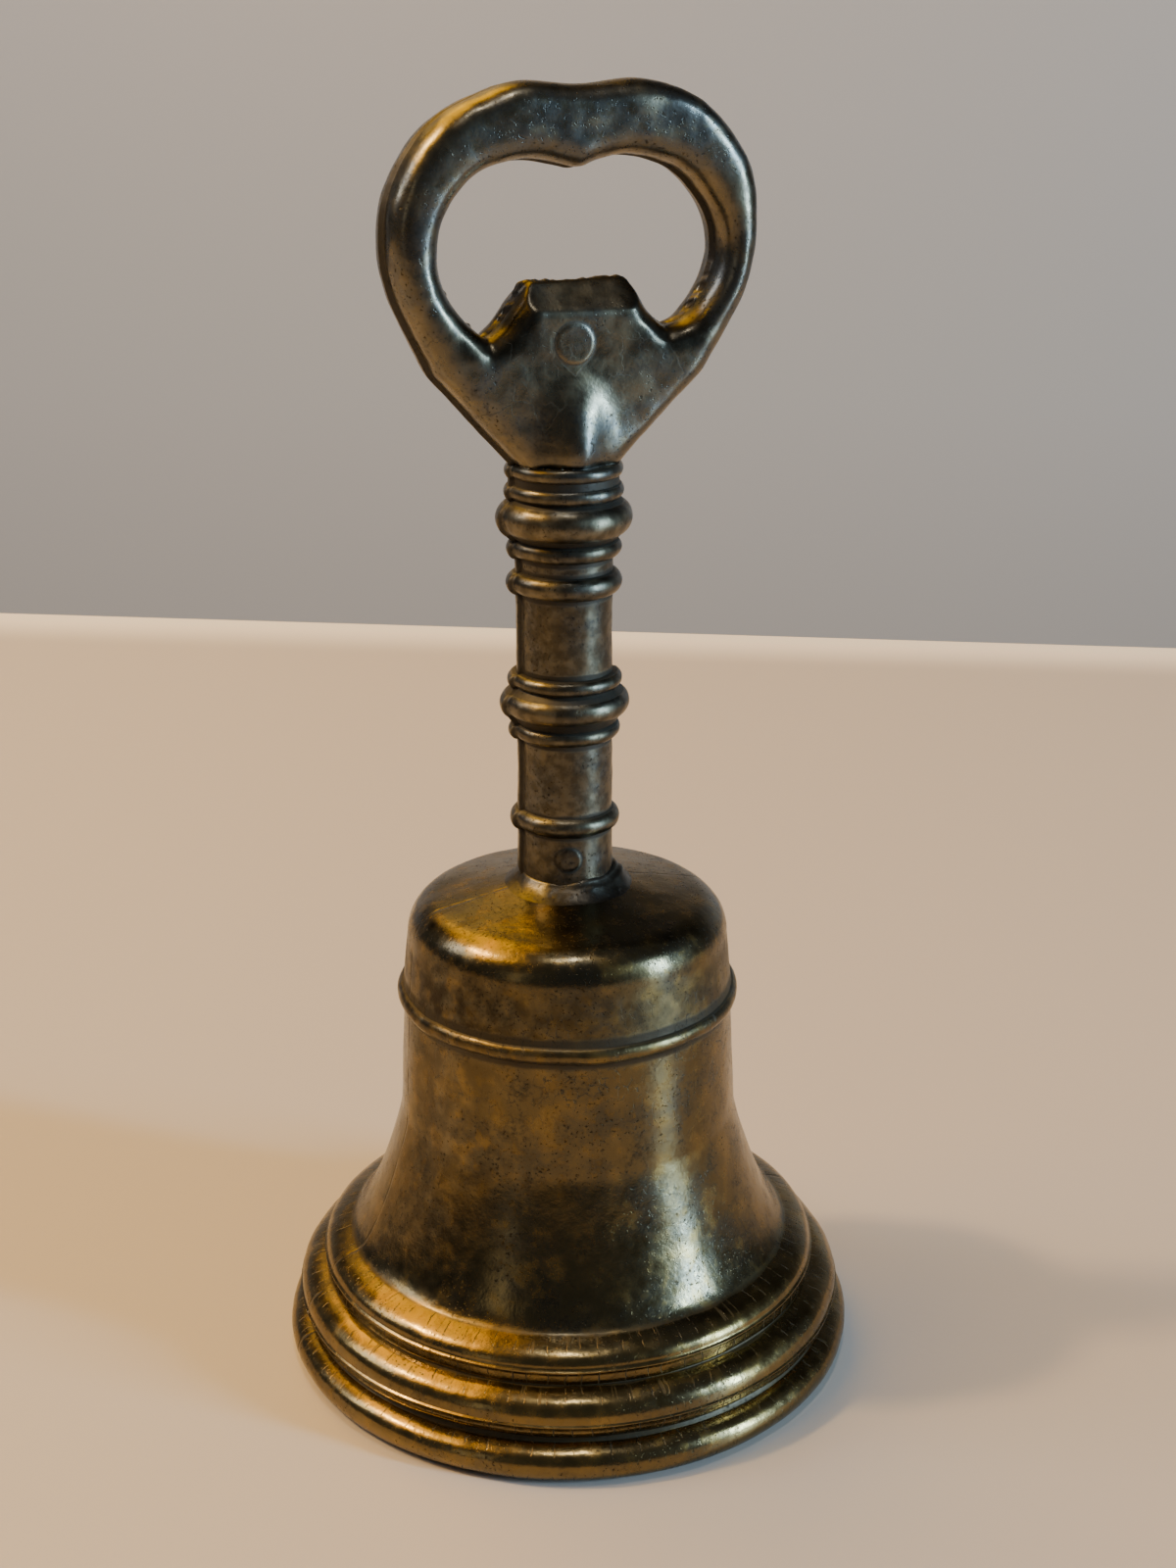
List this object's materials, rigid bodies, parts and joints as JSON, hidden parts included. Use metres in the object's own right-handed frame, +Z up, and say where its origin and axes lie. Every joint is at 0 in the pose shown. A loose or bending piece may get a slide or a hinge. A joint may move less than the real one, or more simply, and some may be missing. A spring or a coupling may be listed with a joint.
{
  "type": "hand bell with opener handle",
  "caption": "Cast brass hand bell with three rolls at the lip, a turned baluster shaft and a flat crown-cap opener ring for a grip; a ball clapper hangs inside on a hooked ring.",
  "frame": {"origin": "on the bell's axis, on the surface that the lip stands on", "axes": "+Z up along the bell's axis to the opener ring; X across the flat of the opener ring; -Y the front"},
  "size_m": [0.07, 0.07, 0.1501],
  "materials": {
    "bell_brass": "aged dark brass, satin with burnished high spots",
    "handle_brass": "aged dark brass, satin, greyer than the bell",
    "solder": "dull soft solder, toned brown",
    "steel": "plain steel with a light brown tarnish",
    "clapper_brass": "plain turned brass"
  },
  "bodies": {
    "bell": {"bell_shell": "bell_brass", "opener_handle": "handle_brass", "foot_solder": "solder", "clapper_eyebolt": "steel", "eyebolt_washer": "steel", "eyebolt_nut": "steel"},
    "link": {"clapper_link": "steel"},
    "clapper": {"clapper_rod": "steel", "clapper_ball": "clapper_brass", "clapper_end_nut": "steel"}
  },
  "joints": [
    {"name": "link_swing", "type": "hinge", "parent": "bell", "child": "link", "pos_m": [0, 0, 0.04115], "axis": [1, 0, 0], "range_deg": [-12, 12]},
    {"name": "clapper_swing", "type": "hinge", "parent": "link", "child": "clapper", "pos_m": [0, 0, 0.0351], "axis": [0, 1, 0], "range_deg": [-35, 35]}
  ]
}
